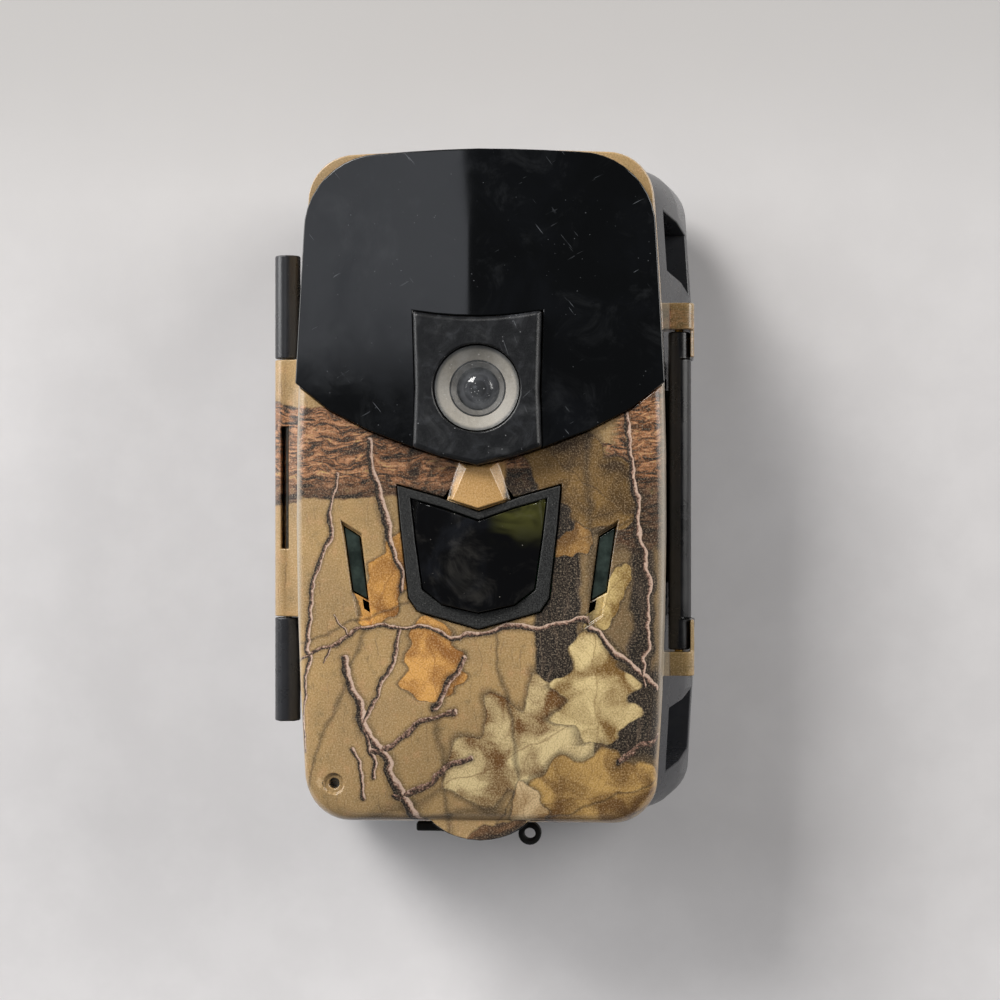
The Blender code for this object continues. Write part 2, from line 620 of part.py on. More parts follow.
def lens_assembly():
    block = loft("lens_block", (
        (Y_POCKET - GAP, block_outline(0.0)),
        (Y_BLOCK + 0.7, block_outline(0.0)),
        (Y_BLOCK, block_outline(-0.7)),
    ), SATIN, smooth=38)
    cut(block, rod_y("lens_recess", 0.0, LENS_Z, LENS_RECESS_R, AHEAD, -60.2, 36, tool=True))
    cut(block, rod_y("lens_bore", 0.0, LENS_Z, LENS_BORE_R, *FACE_DEPTH, 36, tool=True))
    window = rod_y("lens_window", 0.0, LENS_Z, 9.4, -63.6, -62.9, 36, CLEAR, smooth=38)
    bezel = turned_y("lens_bezel", 0.0, LENS_Z, (
        (9.4, -62.6), (9.4, -60.5), (6.3, -60.5), (6.3, -61.0)), 36, GREY_RING)
    barrel = turned_y("lens_barrel", 0.0, LENS_Z, (
        (5.9, -60.7), (6.1, -60.4), (6.1, -50.0), (4.0, -50.0), (4.0, -57.0), (4.8, -57.6),
        (4.8, -59.7)), 32, SATIN)
    glass = turned_y("lens_glass", 0.0, LENS_Z, (
        (0.0, -60.3), (1.6, -60.1), (3.1, -59.5), (4.5, -58.5), (4.5, -58.0), (0.0, -58.0)),
        28, OPTIC)
    imager = box("imager_board", (-11.0, 11.0), (-49.4, -48.0), (LENS_Z - 11.0, LENS_Z + 11.0), BOARD)
    fuse(imager, box("imager_chip", (-3.6, 3.6), (-49.9, -49.0), (LENS_Z - 3.0, LENS_Z + 3.0), tool=True))
    return [block, window, bezel, barrel, glass, imager]


def sensing():
    frame = prism("pir_frame", SHIELD, -58.8, -54.4, SATIN)
    cut(frame, prism("pir_frame_port", grow_outline(LENS_SHIELD, GAP), *FACE_DEPTH, tool=True))
    lens = prism("pir_lens", LENS_SHIELD, -66.0, -52.4, TINTED)
    axis_y = PIR_CROWN + PIR_RADIUS
    dome = rod_z("pir_dome", 0.0, axis_y, PIR_RADIUS, -40.0, 10.0, 160, tool=True)
    hollow = rod_z("pir_hollow", 0.0, axis_y, PIR_RADIUS - 1.4, -41.0, 11.0, 160, tool=True)
    combine(lens, dome, "INTERSECT")
    cut(lens, hollow)
    sensor = turned_y("pir_sensor", 0.0, -16.0, (
        (0.0, -50.6), (3.9, -50.6), (4.1, -50.2), (4.1, -47.2), (4.6, -47.2), (4.6, -46.6),
        (0.0, -46.6)), 20, NICKEL)
    pieces = [frame, lens, sensor]
    for side, name in ((-1, "left"), (1, "right")):
        slit = mirror_outline(SLIT, side)
        pieces.append(prism(f"side_window_{name}", slit, -57.0, -54.0, SMOKED))
    lamp = turned_y("status_lamp", -27.6, -17.5, (
        (0.0, -53.0), (0.9, -52.7), (1.5, -51.8), (1.5, -48.6), (1.9, -48.6), (1.9, -47.6),
        (0.0, -47.6)), 12, CLEAR)
    photocell = rod_y("photocell", 27.6, -17.5, 2.4, -52.6, -50.6, 16, GREY_RING, smooth=38)
    microphone = rod_y("microphone", MIC[0], MIC[1] + 0.8, 2.6, -53.2, -50.6, 16, NICKEL, smooth=38)
    return pieces + [lamp, photocell, microphone]


def boards():
    lights = box("infrared_array", (-35.6, 35.6), (-52.8, -51.4), (22.4, 60.6), BOARD)
    cut(lights, rod_y("array_port", 0.0, LENS_Z, 8.0, AHEAD, -40.0, 20, tool=True))
    for row in range(5):
        for column in range(3):
            for side in (-1, 1):
                x = side * (20.0 + 5.8 * column)
                z = 27.0 + 7.2 * row
                name = f"emitter_{row}_{column}_{side}"
                fuse(lights, rod_y(name, x, z, 2.0, -55.2, -52.2, 8, tool=True))
    main = box("main_board", (-34.0, 34.0), (-46.2, -44.8), (-62.0, 62.0), BOARD)
    for k, (x, z, w, h) in enumerate(((-14.0, -40.0, 7.0, 7.0), (12.0, -44.0, 5.0, 8.0),
                                      (20.0, 48.0, 6.0, 4.0), (-20.0, 50.0, 4.0, 5.0))):
        fuse(main, box(f"chip_{k}", (x - w, x + w), (-47.6, -46.0), (z - h, z + h), tool=True))
    socket = box("card_socket", (-29.0, -3.6), (-44.5, -42.4), (-61.0, -34.0), NICKEL)
    cut(socket, box("card_mouth", (-27.8, -4.8), (-43.9, -43.0), (-70.0, -36.0), tool=True))
    ports = box("port_block", (-7.2, 7.2), (-47.8, -46.8), (-73.2, -62.4), SATIN)
    fuse(ports, box("port_shroud", (-7.2, 7.2), (-47.8, -42.2), (-73.2, -66.8), tool=True))
    cut(ports, rod_z("jack_bore", 3.2, -45.0, 2.0, -80.0, -68.4, 16, tool=True))
    cut(ports, box("data_mouth", (-6.2, -1.0), (-46.2, -43.8), (-80.0, -68.4), tool=True))
    return [lights, main, socket, ports]


KEY_SPOTS = (("up", 14.0, -10.0), ("down", 14.0, -30.0), ("left", 4.0, -20.0), ("right", 24.0, -20.0),
             ("enter", 14.0, -20.0))


def inner_panel():
    inset = WALL_FRONT + 0.3 + GAP
    edge = outline(inset, inset, CORNER_TOP - 2.4, CORNER_BOTTOM - 1.6)
    cover = prism("inner_cover", edge, -41.4, -39.8, BLACK)
    cut(cover, box("display_port", (-20.0, 20.0), COVER_DEPTH, (12.0, 43.0), tool=True))
    for name, x, z in KEY_SPOTS:
        cut(cover, rod_y(f"key_port_{name}", x, z, 3.6, *COVER_DEPTH, 20, tool=True))
    cut(cover, box("switch_port", (-26.0, -10.0), COVER_DEPTH, (-22.2, -17.8), tool=True))
    cut(cover, box("card_port", (-28.6, -4.0), COVER_DEPTH, (-66.0, -62.6), tool=True))
    pieces = [cover]
    display = box("display", (-22.5, 22.5), (-43.8, -41.7), (9.5, 45.0), DISPLAY)
    pieces.append(display)
    for k, (x, z) in enumerate(COVER_SCREWS):
        cut(cover, rod_y(f"screw_port_{k}", x, z, 1.6, *COVER_DEPTH, 16, tool=True))
        screw = turned_y(f"screw_{k + 1}", x, z, (
            (0.0, -39.0), (2.4, -38.8), (2.7, -39.5), (1.2, -39.5), (1.2, -44.0), (0.0, -44.0)),
            16, STEEL)
        slot = (z - 0.3, z + 0.3)
        cut(screw, box(f"screw_slot_{k}", (x - 1.7, x + 1.7), (-39.2, -38.0), slot, tool=True))
        pieces.append(screw)
    return pieces


def keys():
    made = []
    for name, x, z in KEY_SPOTS:
        made.append(turned_y(f"key_{name}", x, z, (
            (0.0, -38.9), (2.8, -38.9), (3.2, -39.2), (3.2, -41.8), (4.3, -41.8), (4.3, -42.6),
            (0.0, -42.6)), 20, KEYS, -41.0))
    knob = box("mode_switch", (-25.4, -20.4), (-42.4, -38.9), (-21.8, -18.2), KEYS)
    fuse(knob, box("switch_foot", (-26.4, -19.4), (-42.9, -41.8), (-23.0, -17.0), tool=True))
    cut(knob, box("switch_grip", (-23.4, -22.4), (-39.4, -30.0), (-30.0, -10.0), tool=True))
    move_origin(knob, (-22.9, -41.0, -20.0))
    return made + [knob]


def latch_lever():
    lever = rod_z("latch_lever", LATCH_X, LATCH_Y, KNUCKLE_R, -37.2, 35.0, 24, BLACK, smooth=38)
    arm = [(LATCH_X - 1.2, LATCH_Y - 2.0)]
    for k in range(6):
        turn = math.radians(-80.0 + 22.0 * k)
        arm.append((LATCH_X + ARM_R * math.cos(turn), LATCH_Y + ARM_R * math.sin(turn)))
    arm += [(LATCH_X + 2.6, -36.6), (LATCH_X + 2.0, -34.0), (LATCH_X + 0.6, -32.8),
            (LATCH_X - 0.9, -33.0), (LATCH_X - 0.9, -36.4), (LATCH_X + 0.8, -38.6),
            (LATCH_X + 0.2, -40.2), (LATCH_X - 1.2, -41.4)]
    fuse(lever, extrude_z("latch_arm", arm, -30.0, 28.8, tool=True))
    cut(lever, rod_z("latch_bore", LATCH_X, LATCH_Y, PIN_R + GAP, -60.0, 60.0, 16, tool=True))
    pin = rod_z("latch_pin", LATCH_X, LATCH_Y, PIN_R, -41.6, 40.0, 16, BRASS, smooth=38)
    return lever, pin


PORT_AXIS = (10.6, -45.0, -79.1)


def port_cover():
    """Rubber plug, curved cap, pull tab and tether ring moulded in one."""
    cap = arc(-0.6, -62.8, 17.6, -50.6, -129.4, 10)
    cover = prism("port_cover", cap, -49.4, -40.6, RUBBER)
    fuse(cover, box("port_plug", (-7.6, 7.6), (-48.2, -41.8), (-77.0, -74.6), tool=True))
    fuse(cover, box("pull_tab", (-15.2, -9.0), (-47.6, -42.4), (-78.6, -76.6), tool=True))
    ring_x, _, ring_z = PORT_AXIS
    ring = rod_y("tether_ring", ring_x, ring_z, 2.6, -46.6, -43.4, 20, tool=True)
    fuse(cover, ring)
    cut(cover, rod_y("tether_eye", ring_x, ring_z, 1.3, *COVER_DEPTH, 16, tool=True))
    return cover


def axis_empty(name, spot):
    empty = bpy.data.objects.new(name, None)
    PARTS.objects.link(empty)
    empty.location = Vector(spot) * MM
    return empty


def hang(child, parent):
    """Parent a piece that already stands in place."""
    child.parent = parent
    child.matrix_parent_inverse.identity()
    child.location = child.location - parent.matrix_world.translation


def move_origin(item, spot):
    """Put the object's origin on its joint axis and leave the shape where it is."""
    shift = Vector(spot) * MM
    for vertex in item.data.vertices:
        vertex.co -= shift
    item.location = shift


def build():
    back_shell()
    back_internals()

    door = axis_empty("door_axis", (HINGE_X, HINGE_Y, 0.0))
    door_pieces = [front_shell(), infrared_panel()]
    door_pieces += lens_assembly() + sensing() + boards() + inner_panel()
    lever, pin = latch_lever()
    move_origin(lever, (LATCH_X, LATCH_Y, 0.0))
    cover = port_cover()
    move_origin(cover, PORT_AXIS)
    door_pieces += [pin, lever, cover] + keys()
    bpy.context.view_layer.update()
    for item in door_pieces:
        hang(item, door)
    bpy.context.view_layer.update()


build()
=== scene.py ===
"""Visual model of a trail camera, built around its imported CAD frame.

Metres in the row frame: the origin is the tree pad on the back, the front faces -Y, +Z is up.
Lengths inside the materials are in millimetres.
"""
import json
import math

import bmesh
import bpy
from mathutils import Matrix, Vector

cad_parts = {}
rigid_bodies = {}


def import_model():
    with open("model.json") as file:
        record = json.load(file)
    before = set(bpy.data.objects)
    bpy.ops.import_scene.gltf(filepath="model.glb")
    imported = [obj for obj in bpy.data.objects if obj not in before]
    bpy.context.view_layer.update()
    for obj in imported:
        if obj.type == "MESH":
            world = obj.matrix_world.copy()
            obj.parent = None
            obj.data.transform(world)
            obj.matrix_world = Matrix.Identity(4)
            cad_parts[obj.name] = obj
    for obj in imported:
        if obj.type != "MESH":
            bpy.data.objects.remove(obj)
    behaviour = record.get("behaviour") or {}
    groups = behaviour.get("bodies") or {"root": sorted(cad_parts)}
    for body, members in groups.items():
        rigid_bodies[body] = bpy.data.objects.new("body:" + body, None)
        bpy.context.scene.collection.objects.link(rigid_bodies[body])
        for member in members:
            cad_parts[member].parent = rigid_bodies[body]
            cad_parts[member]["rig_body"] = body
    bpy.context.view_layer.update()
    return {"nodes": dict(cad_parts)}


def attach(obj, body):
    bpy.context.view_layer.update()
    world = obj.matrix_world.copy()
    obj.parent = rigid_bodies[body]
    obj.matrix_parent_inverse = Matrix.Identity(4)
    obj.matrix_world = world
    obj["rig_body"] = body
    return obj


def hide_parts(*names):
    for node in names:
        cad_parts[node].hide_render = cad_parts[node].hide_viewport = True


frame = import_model()

SCENE = bpy.context.scene
MM = 0.001
FACE_Y = -58.0
HALF_WIDTH = 41.7
HALF_HEIGHT = 76.0
LENS_Z = 21.5


# ---------------------------------------------------------------- node helpers
def hue(code, alpha=1.0):
    """Linear colour of a hex code."""
    parts = [int(code[k:k + 2], 16) / 255.0 for k in (0, 2, 4)]
    return (*[c / 12.92 if c <= 0.04045 else ((c + 0.055) / 1.055) ** 2.4 for c in parts], alpha)


class Tree:
    """Shorthand for making nodes in one tree and linking them."""

    def __init__(self, tree):
        self.tree = tree

    def node(self, kind, **settings):
        made = self.tree.nodes.new(kind)
        for name, value in settings.items():
            setattr(made, name, value)
        return made

    def plug(self, socket, value):
        if isinstance(value, bpy.types.NodeSocket):
            self.tree.links.new(value, socket)
        elif value is not None:
            socket.default_value = value

    def math(self, operation, a, b=None, clamp=False):
        made = self.node("ShaderNodeMath", operation=operation, use_clamp=clamp)
        self.plug(made.inputs[0], a)
        self.plug(made.inputs[1], b)
        return made.outputs[0]

    def vector(self, operation, a, b=None, scale=None):
        made = self.node("ShaderNodeVectorMath", operation=operation)
        self.plug(made.inputs[0], a)
        self.plug(made.inputs[1], b)
        self.plug(made.inputs[3], scale)
        scalar = operation in ("DOT_PRODUCT", "LENGTH")
        return made.outputs[1 if scalar else 0]

    def split(self, vector):
        made = self.node("ShaderNodeSeparateXYZ")
        self.plug(made.inputs[0], vector)
        return made.outputs[0], made.outputs[1], made.outputs[2]

    def join(self, x, y, z):
        made = self.node("ShaderNodeCombineXYZ")
        for socket, value in zip(made.inputs, (x, y, z)):
            self.plug(socket, value)
        return made.outputs[0]

    def mix(self, share, a, b, blend="MIX"):
        made = self.node("ShaderNodeMix", data_type="RGBA", blend_type=blend)
        for socket, value in zip((made.inputs[0], made.inputs[6], made.inputs[7]), (share, a, b)):
            self.plug(socket, value)
        return made.outputs[2]

    def between(self, share, a, b):
        made = self.node("ShaderNodeMix", data_type="FLOAT")
        for socket, value in zip((made.inputs[0], made.inputs[2], made.inputs[3]), (share, a, b)):
            self.plug(socket, value)
        return made.outputs[0]

    def step(self, value, low, high, floor=0.0, top=1.0):
        """Smooth step from floor at low to top at high; low may be the larger."""
        made = self.node("ShaderNodeMapRange", interpolation_type="SMOOTHSTEP")
        for socket, given in zip(made.inputs, (value, low, high, floor, top)):
            self.plug(socket, given)
        return made.outputs[0]

    def noise(self, at, scale, detail=2.0, rough=0.5, distort=0.0):
        made = self.node("ShaderNodeTexNoise")
        for label, value in (("Vector", at), ("Scale", scale), ("Detail", detail),
                             ("Roughness", rough), ("Distortion", distort)):
            self.plug(made.inputs[label], value)
        return made.outputs[0]

    def cells(self, at, scale, feature="F1"):
        made = self.node("ShaderNodeTexVoronoi", feature=feature)
        self.plug(made.inputs["Vector"], at)
        self.plug(made.inputs["Scale"], scale)
        return made.outputs["Distance"]

    def ramp(self, share, *stops):
        made = self.node("ShaderNodeValToRGB")
        row = made.color_ramp.elements
        while len(row) < len(stops):
            row.new(0.5)
        for element, (place, colour) in zip(row, stops):
            element.position = place
            element.color = colour
        self.plug(made.inputs[0], share)
        return made.outputs[0]

    def stretch(self, at, by):
        made = self.node("ShaderNodeMapping")
        self.plug(made.inputs["Vector"], at)
        self.plug(made.inputs["Scale"], by)
        return made.outputs[0]

    def metres(self):
        return self.node("ShaderNodeTexCoord").outputs["Object"]

    def place(self, stretch=(1.0, 1.0, 1.0)):
        """Object coordinates in millimetres, stretched along each axis."""
        return self.stretch(self.metres(), tuple(s / MM for s in stretch))


def new_material(name):
    made = bpy.data.materials.new(name)
    made.use_nodes = True
    return made, Tree(made.node_tree), made.node_tree.nodes["Principled BSDF"]


def surface(tree, shader, colour, roughness, height=None, depth=0.02, **plain):
    """Fill in a Principled shader; height is a bump map whose full swing is depth millimetres."""
    tree.plug(shader.inputs["Base Color"], colour)
    tree.plug(shader.inputs["Roughness"], roughness)
    for label, value in plain.items():
        shader.inputs[label.replace("_", " ")].default_value = value
    if height is not None:
        bump = tree.node("ShaderNodeBump")
        bump.inputs["Distance"].default_value = depth * MM
        tree.plug(bump.inputs["Height"], height)
        tree.plug(shader.inputs["Normal"], bump.outputs[0])


def new_group(name, inputs, outputs):
    group = bpy.data.node_groups.new(name, "ShaderNodeTree")
    for label, kind in inputs:
        group.interface.new_socket(label, in_out="INPUT", socket_type=f"NodeSocket{kind}")
    for label, kind in outputs:
        group.interface.new_socket(label, in_out="OUTPUT", socket_type=f"NodeSocket{kind}")
    tree = Tree(group)
    return group, tree, tree.node("NodeGroupInput").outputs, tree.node("NodeGroupOutput").inputs


# ---------------------------------------------------- printed woodland pattern
LIGHT_FROM = (0.75, 0.0, 0.62)
IN_PLANE = (0.0, 1.0, 0.0)


def twig_group():
    """One straight length of twig: distance from it in half widths, and how it faces the light."""
    group, t, given, result = new_group(
        "twig",
        (("At", "Vector"), ("From", "Vector"), ("To", "Vector"), ("Start", "Float"), ("End", "Float")),
        (("Away", "Float"), ("Lit", "Float")))
    run = t.vector("SUBTRACT", given["To"], given["From"])
    reach = t.vector("SUBTRACT", given["At"], given["From"])
    share = t.math("DIVIDE", t.vector("DOT_PRODUCT", reach, run), t.vector("DOT_PRODUCT", run, run), True)
    off = t.vector("SUBTRACT", reach, t.vector("SCALE", run, scale=share))
    width = t.between(share, given["Start"], given["End"])
    t.plug(result["Away"], t.math("DIVIDE", t.vector("LENGTH", off), width))
    t.plug(result["Lit"], t.math("DIVIDE", t.vector("DOT_PRODUCT", off, LIGHT_FROM), width))
    return group


def leaf_group():
    """One lobed leaf: outline, midrib with side veins, curled light and a dark rim."""
    group, t, given, result = new_group(
        "leaf",
        (("At", "Vector"), ("Centre", "Vector"), ("Axis", "Vector"), ("Length", "Float"),
         ("Width", "Float"), ("Lobes", "Float"), ("Curl", "Float"), ("Grain", "Float"),
         ("Dark", "Color"), ("Light", "Color")),
        (("Inside", "Float"), ("Colour", "Color")))
    reach = t.vector("SUBTRACT", given["At"], given["Centre"])
    across = t.vector("CROSS_PRODUCT", given["Axis"], IN_PLANE)
    along_mm = t.vector("DOT_PRODUCT", reach, given["Axis"])
    across_mm = t.vector("DOT_PRODUCT", reach, across)
    along = t.math("DIVIDE", along_mm, given["Length"])
    side = t.math("ABSOLUTE", t.math("DIVIDE", across_mm, given["Width"]))
    dome = t.math("SQRT", t.math("MAXIMUM", t.math("SUBTRACT", 1.0, t.math("MULTIPLY", along, along)), 0.0))
    wave = t.math("SINE", t.math("MULTIPLY_ADD", along, 11.0))
    lobes = t.math("ADD", 1.0, t.math("MULTIPLY", wave, given["Lobes"]))
    taper = t.math("SUBTRACT", 1.0, t.math("MULTIPLY", along, 0.3))
    limit = t.math("MULTIPLY", t.math("MULTIPLY", dome, lobes), taper)
    inside = t.math("SUBTRACT", limit, side)
    slanted = t.math("SUBTRACT", t.math("MULTIPLY", along_mm, 0.42),
                     t.math("MULTIPLY", t.math("ABSOLUTE", across_mm), 0.3))
    ribs = t.math("ABSOLUTE", t.math("SUBTRACT", t.math("FRACT", slanted), 0.5))
    veins = t.math("MAXIMUM", t.step(ribs, 0.07, 0.01, 0.0, 0.6),
                   t.step(t.math("ABSOLUTE", across_mm), 0.3, 0.1))
    fold = t.step(across_mm, -1.5, 1.5, -0.16, 0.16)
    tone = t.math("ADD", t.step(given["Curl"], 0.3, 0.68), fold)
    tone = t.math("ADD", tone, t.math("MULTIPLY", t.math("SUBTRACT", given["Grain"], 0.5), 0.9))
    colour = t.mix(t.math("ADD", tone, 0.0, True), given["Dark"], given["Light"])
    colour = t.mix(t.math("MULTIPLY", veins, 0.45), colour, given["Dark"])
    colour = t.mix(t.step(inside, 0.09, 0.02, 0.0, 0.65), colour, hue("3A2A1C"))
    t.plug(result["Inside"], inside)
    t.plug(result["Colour"], colour)
    return group


# Runs of twig as points in x, z with the half width at each
TWIGS = (
    ((-31.5, 3.0, 0.45), (-33.5, -9.0, 0.5), (-38.0, -24.0, 0.6), (-40.0, -60.0, 0.35)),
    ((-24.5, 9.0, 0.9), (-21.0, -7.0, 0.85), (-17.4, -23.0, 0.6)),
    ((-42.0, -39.0, 0.25), (-26.0, -32.2, 0.45), (-13.0, -31.4, 0.4), (-4.0, -33.6, 0.5)),
    ((-4.0, -33.6, 0.6), (4.0, -31.8, 0.8), (24.5, -30.4, 0.7)),
    ((-34.0, -35.5, 0.3), (-35.6, -40.5, 0.2)),
    ((-29.0, -33.4, 0.25), (-32.0, -28.6, 0.15)),
    ((-17.5, -31.6, 0.5), (-25.2, -53.0, 0.55), (-24.0, -66.0, 0.4)),
    ((-30.4, -38.5, 0.8), (-26.5, -51.0, 1.0), (-19.0, -66.5, 1.2), (-12.6, -77.0, 1.2)),
    ((-28.2, -58.6, 0.5), (-25.5, -70.0, 0.5)),
    ((-24.2, -59.4, 0.7), (-5.6, -50.0, 0.45)),
    ((-18.6, -69.6, 0.8), (-2.0, -61.0, 0.5)),
    ((-3.5, -38.0, 0.7), (-9.5, -49.5, 0.6)),
    ((32.5, 18.0, 0.6), (34.2, 2.0, 0.7), (36.4, -14.0, 0.75), (37.0, -44.0, 0.5)),
    ((25.6, -32.5, 0.9), (40.4, -44.8, 0.95)),
    ((31.0, -61.5, 0.7), (40.8, -55.4, 0.6)),
)

# Centre x, z, heading in degrees, half length, half width, lobing, dark and light colours
LEAVES = (
    (-20.6, -21.0, 68.0, 12.0, 4.4, 0.20, "8A5A26", "D59C4E"),
    (-10.4, -38.6, 96.0, 9.6, 6.6, 0.16, "93602A", "D8A055"),
    (21.5, 3.0, 140.0, 17.0, 8.4, 0.12, "3A2812", "7E6032"),
    (20.0, -12.8, 200.0, 5.6, 3.4, 0.12, "6B4A22", "A57C44"),
    (29.0, -25.6, 63.0, 9.4, 2.7, 0.05, "7C5E2C", "D0B577"),
    (10.0, -58.5, 206.0, 20.0, 11.5, 0.30, "6E4A22", "E2CB96"),
    (26.0, -45.0, 92.0, 13.0, 8.6, 0.24, "7A5A2A", "E0C890"),
    (28.0, -69.0, 8.0, 17.0, 9.5, 0.14, "6B4A22", "C79F5C"),
    (11.0, -74.5, 100.0, 9.0, 4.4, 0.10, "8F6A3A", "E6C99A"),
    (4.5, -78.6, 20.0, 7.0, 2.6, 0.10, "1C1410", "6B4A2C"),
)


# How suddenly the print turns round the sides, and a height beyond the whole shell
SIDE_TURN = 9.0
PAST_CHIN = 90.0


def wrapped_place(t):
    """Print coordinates in metres: the front view, carried round the sides so nothing smears."""
    x, y, z = t.split(t.metres())
    back = t.math("SUBTRACT", y, FACE_Y * MM)

    def carried(value, half, ends):
        """One coordinate, moved on by the depth near its side; pieces past ends aren't moved."""
        share = t.math("DIVIDE", value, half * MM)
        turn = t.math("POWER", t.math("ABSOLUTE", share), SIDE_TURN, True)
        inside = t.step(t.math("ABSOLUTE", value), (ends + 0.8) * MM, (ends + 0.2) * MM)
        shift = t.math("MULTIPLY", t.math("MULTIPLY", turn, inside), back)
        return t.math("ADD", value, t.math("MULTIPLY", shift, t.math("SIGN", value)))

    return t.join(carried(x, HALF_WIDTH, HALF_WIDTH), 0.0, carried(z, HALF_HEIGHT, PAST_CHIN))


def camouflage():
    """Woodland print under a clear coat: ground, trunks, bark, leaves and twigs."""
    material, t, shader = new_material("woodland_print")
    metres = wrapped_place(t)
    flat = t.stretch(metres, (1.0 / MM,) * 3)
    mirrored = t.stretch(metres, (-0.9 / MM, 1.0, 1.1 / MM))

    def strayed(at, scale, amount):
        """The print moved about by noise of that scale, amount millimetres at most each way."""
        shift = t.join(t.noise(flat, scale, 2.0), 0.5, t.noise(mirrored, scale, 2.0))
        centred = t.vector("SUBTRACT", shift, (0.5, 0.5, 0.5))
        return t.vector("ADD", at, t.vector("SCALE", centred, scale=2.0 * amount * MM))

    at = t.stretch(strayed(strayed(metres, 0.12, 2.6), 0.8, 0.28), (1.0 / MM,) * 3)
    x, _, z = t.split(at)
    grain = t.noise(flat, 2.6, 2.0, 0.75)
    coarse = t.noise(flat, 0.32, 4.0, 0.6)

    # sandy ground with faint dry grass
    ground = t.mix(t.step(t.noise(flat, 0.055, 2.0), 0.35, 0.62), hue("B0905F"), hue("A2855A"))
    ground = t.mix(t.step(coarse, 0.5, 0.75, 0.0, 0.5), ground, hue("C4976A"))
    ground = t.mix(t.step(coarse, 0.46, 0.28, 0.0, 0.6), ground, hue("84704C"))
    blades = t.noise(t.stretch(at, (1.5, 1.0, 0.12)), 1.0, 3.0, 0.6)
    ground = t.mix(t.step(blades, 0.60, 0.68, 0.0, 0.4), ground, hue("5F4C38"))

    def patch(left, right, low, high, soft=0.7):
        """One inside a box of the print, zero outside it, with soft sides."""
        across = t.math("MULTIPLY", t.step(x, left - soft, left + soft),
                        t.step(x, right + soft, right - soft))
        upward = t.math("MULTIPLY", t.step(z, low - soft, low + soft),
                        t.step(z, high + soft, high - soft))
        return t.math("MULTIPLY", across, upward)

    # trunks behind, towards the right: two dark ones and weathered ones between
    streak = t.noise(t.stretch(at, (1.1, 1.0, 0.10)), 1.0, 5.0, 0.65)
    trunk = t.ramp(streak, (0.36, hue("0E0C0B")), (0.54, hue("2A221D")), (0.68, hue("5F5042")))
    colour = t.mix(t.math("MULTIPLY", patch(22.0, 45.0, -52.0, 4.0, 1.2), 0.55), ground, trunk)
    dark = t.math("MAXIMUM", patch(12.4, 22.4, -46.0, 4.0), patch(33.6, 38.6, -60.0, -8.0))
    dark = t.math("MAXIMUM", dark, patch(28.0, 41.0, -61.0, -40.0, 1.6))
    colour = t.mix(dark, colour, trunk)

    # a fallen limb right across, with furrowed bark, and more bark at the upper right
    axis = t.math("ADD", t.math("MULTIPLY", x, -0.05), 5.4)
    height = t.math("SUBTRACT", z, axis)
    half = t.math("ADD", 7.6, t.math("MULTIPLY", x, -0.08))
    ratio = t.math("DIVIDE", height, half)
    in_limb = t.math("MAXIMUM", t.step(t.math("ABSOLUTE", ratio), 1.03, 0.96),
                     patch(30.5, 60.0, -14.0, 40.0, 1.5))
    plates = t.noise(t.stretch(at, (0.16, 1.0, 0.75)), 1.0, 6.0, 0.62, 1.4)
    bark = t.ramp(plates, (0.36, hue("17120F")), (0.44, hue("4A3020")), (0.52, hue("94633F")),
                  (0.60, hue("C08C66")), (0.70, hue("B99E5C")))
    rough_bark = t.noise(t.stretch(at, (0.8, 1.0, 1.6)), 1.0, 3.0, 0.7)
    bark = t.mix(t.step(rough_bark, 0.50, 0.36, 0.0, 0.75), bark, hue("1F1814"))
    bark = t.mix(t.step(ratio, -0.35, -0.95, 0.0, 0.75), bark, hue("181310"))
    colour = t.mix(in_limb, colour, bark)
    colour = t.mix(t.math("MULTIPLY", patch(2.0, 18.0, -4.0, 3.4), 0.85), colour, hue("15110F"))

    # leaves, each with its shadow on what lies under it
    leaf = leaf_group()
    curl = t.noise(at, 0.13, 2.0, 0.5, 0.6)
    for cx, cz, heading, length, width, lobing, dark, light in LEAVES:
        turn = math.radians(heading)
        made = t.node("ShaderNodeGroup", node_tree=leaf)
        for label, value in (("At", at), ("Centre", (cx, 0.0, cz)),
                             ("Axis", (math.cos(turn), 0.0, math.sin(turn))), ("Length", length),
                             ("Width", width), ("Lobes", lobing), ("Curl", curl), ("Grain", grain),
                             ("Dark", hue(dark)), ("Light", hue(light))):
            t.plug(made.inputs[label], value)
        inside = made.outputs["Inside"]
        colour = t.mix(t.step(inside, -0.22, 0.02, 0.0, 0.55), colour, hue("1B1410"))
        colour = t.mix(t.step(inside, -0.01, 0.03), colour, made.outputs["Colour"])

    # twigs over everything
    twig = twig_group()
    nearest, lit = 9.0, 0.0
    for run in TWIGS:
        for (x0, z0, w0), (x1, z1, w1) in zip(run, run[1:]):
            made = t.node("ShaderNodeGroup", node_tree=twig)
            for label, value in (("At", at), ("From", (x0, 0.0, z0)), ("To", (x1, 0.0, z1)),
                                 ("Start", w0), ("End", w1)):
                t.plug(made.inputs[label], value)
            closer = t.math("LESS_THAN", made.outputs["Away"], nearest)
            lit = t.between(closer, lit, made.outputs["Lit"])
            nearest = t.math("MINIMUM", made.outputs["Away"], nearest)
    flaky = t.noise(at, 1.4, 2.0, 0.7)
    lit = t.math("ADD", lit, t.math("MULTIPLY", t.math("SUBTRACT", flaky, 0.5), 1.6))
    wood = t.ramp(t.step(lit, -1.0, 1.0), (0.28, hue("1E1613")), (0.48, hue("49352C")),
                  (0.62, hue("8E6B5C")), (0.80, hue("CDB19E")))
    colour = t.mix(t.step(nearest, 2.6, 0.9, 0.0, 0.5), colour, hue("1F1712"))
    colour = t.mix(t.step(nearest, 1.12, 0.88), colour, wood)

